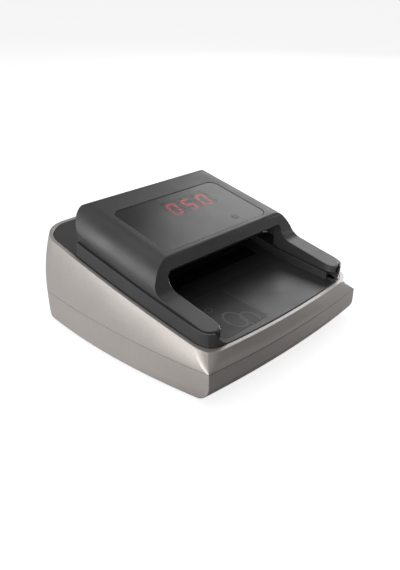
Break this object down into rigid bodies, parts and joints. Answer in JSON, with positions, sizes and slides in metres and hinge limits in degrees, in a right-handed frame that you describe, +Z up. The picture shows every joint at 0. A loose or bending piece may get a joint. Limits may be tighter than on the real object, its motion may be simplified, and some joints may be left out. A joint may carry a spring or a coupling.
{
  "type": "counterfeit bill detector",
  "caption": "Desktop counterfeit bill detector: silver wedge base, black feed tray and a hinged sensor hood with a red digital display; notes feed in at the front and out at the back.",
  "frame": {"origin": "on the table, under the middle of the case (feet at Z = 0)", "axes": "+X to the user's right, +Y away from the user towards the rear panel, +Z up; notes enter at -Y"},
  "size_m": [0.13, 0.1401, 0.0687],
  "materials": {
    "shell_paint": "satin champagne-silver paint",
    "black_abs": "fine satin moulded texture",
    "smoked_window": "smoked gloss",
    "red_segments": "lit red",
    "module_black": "matt",
    "circuit_board": "solder mask",
    "chip_black": "matt",
    "capacitor_sleeve": "satin",
    "connector_white": "satin",
    "key_dark": "satin",
    "steel": "ground",
    "zinc_plate": "zinc plated",
    "bronze": "sintered",
    "gear_white": "acetal",
    "roller_rubber": "ground rubber",
    "pinch_plastic": "satin",
    "foot_rubber": "moulded rubber",
    "uv_filter": "dark violet filter glass",
    "led_clear": "clear",
    "head_metal": "lapped",
    "label_print": "printed film",
    "switch_black": "polished"
  },
  "bodies": {
    "base": {"lower_shell": "shell_paint", "upper_shell": "shell_paint", "deck": "black_abs", "rubber_feet": "foot_rubber", "case_screws": "steel", "feed_label": "label_print", "uv_window": "uv_filter", "uv_board": "circuit_board", "uv_leds": "led_clear", "lower_ir_windows": "smoked_window", "lower_ir_boards": "circuit_board", "magnetic_head": "head_metal", "main_board": "circuit_board", "board_screws": "steel", "board_chips": "chip_black", "board_capacitors": "capacitor_sleeve", "board_connectors": "connector_white", "buzzer": "chip_black", "motor": "zinc_plate", "gear_plate": "zinc_plate", "gear_axles": "steel", "shaft_bushings": "bronze", "dc_jack": "switch_black", "power_switch_housing": "switch_black"},
    "hood": {"hood_cover": "black_abs", "upper_guide": "black_abs", "display_window": "smoked_window", "display_digits": "red_segments", "display_module": "module_black", "display_board": "circuit_board", "display_screws": "steel", "mode_switch": "chip_black", "hinge_pins": "steel", "guide_screws": "steel", "upper_ir_windows": "smoked_window", "upper_ir_board": "circuit_board", "upper_ir_leds": "led_clear", "pinch_springs": "steel"},
    "mode_key": {"mode_key": "key_dark"},
    "front_drive": {"front_shaft": "steel", "front_rollers": "roller_rubber", "front_gear": "gear_white"},
    "rear_drive": {"rear_shaft": "steel", "rear_rollers": "roller_rubber", "rear_gear": "gear_white"},
    "idler": {"idler_gear": "gear_white"},
    "reduction": {"reduction_gear": "gear_white"},
    "motor_rotor": {"motor_shaft": "steel", "motor_pinion": "bronze"},
    "front_pinch": {"front_pinch_axle": "steel", "front_pinch_rollers": "pinch_plastic"},
    "rear_pinch": {"rear_pinch_axle": "steel", "rear_pinch_rollers": "pinch_plastic"},
    "power_rocker": {"power_rocker": "switch_black"}
  },
  "joints": [
    {"name": "hood_hinge", "type": "hinge", "parent": "base", "child": "hood", "pos_m": [0, 0.0315, 0.054], "axis": [-1, 0, 0], "range_deg": [0, 60]},
    {"name": "mode_key_press", "type": "slide", "parent": "hood", "child": "mode_key", "axis": [0, 0.2102, -0.9777], "range_m": [0, 0.0004], "stiffness_N_per_m": 600, "springref_m": -0.0002},
    {"name": "front_drive_spin", "type": "hinge", "parent": "base", "child": "front_drive", "pos_m": [0, 0.00357, 0.03031], "axis": [1, 0, 0], "continuous": true},
    {"name": "rear_drive_spin", "type": "hinge", "parent": "base", "child": "rear_drive", "pos_m": [0, 0.02005, 0.03449], "axis": [1, 0, 0], "continuous": true},
    {"name": "idler_spin", "type": "hinge", "parent": "base", "child": "idler", "pos_m": [0, 0.01392, 0.02408], "axis": [1, 0, 0], "continuous": true},
    {"name": "reduction_spin", "type": "hinge", "parent": "base", "child": "reduction", "pos_m": [0, -0.00319, 0.02129], "axis": [1, 0, 0], "continuous": true},
    {"name": "motor_spin", "type": "hinge", "parent": "base", "child": "motor_rotor", "pos_m": [0, -0.01991, 0.01894], "axis": [1, 0, 0], "continuous": true},
    {"name": "front_pinch_spin", "type": "hinge", "parent": "hood", "child": "front_pinch", "pos_m": [0, 0.00104, 0.04029], "axis": [1, 0, 0], "continuous": true},
    {"name": "rear_pinch_spin", "type": "hinge", "parent": "hood", "child": "rear_pinch", "pos_m": [0, 0.01752, 0.04447], "axis": [1, 0, 0], "continuous": true},
    {"name": "power_rocker_tilt", "type": "hinge", "parent": "base", "child": "power_rocker", "pos_m": [0.026, 0.066, 0.0105], "axis": [0, 0, 1], "range_deg": [0, 16]}
  ],
  "couplings": [
    {"joint": "rear_drive_spin", "follows": "front_drive_spin", "ratio": 1},
    {"joint": "idler_spin", "follows": "front_drive_spin", "ratio": -1.1429},
    {"joint": "reduction_spin", "follows": "front_drive_spin", "ratio": -1.3333},
    {"joint": "motor_spin", "follows": "front_drive_spin", "ratio": 3.3333}
  ]
}
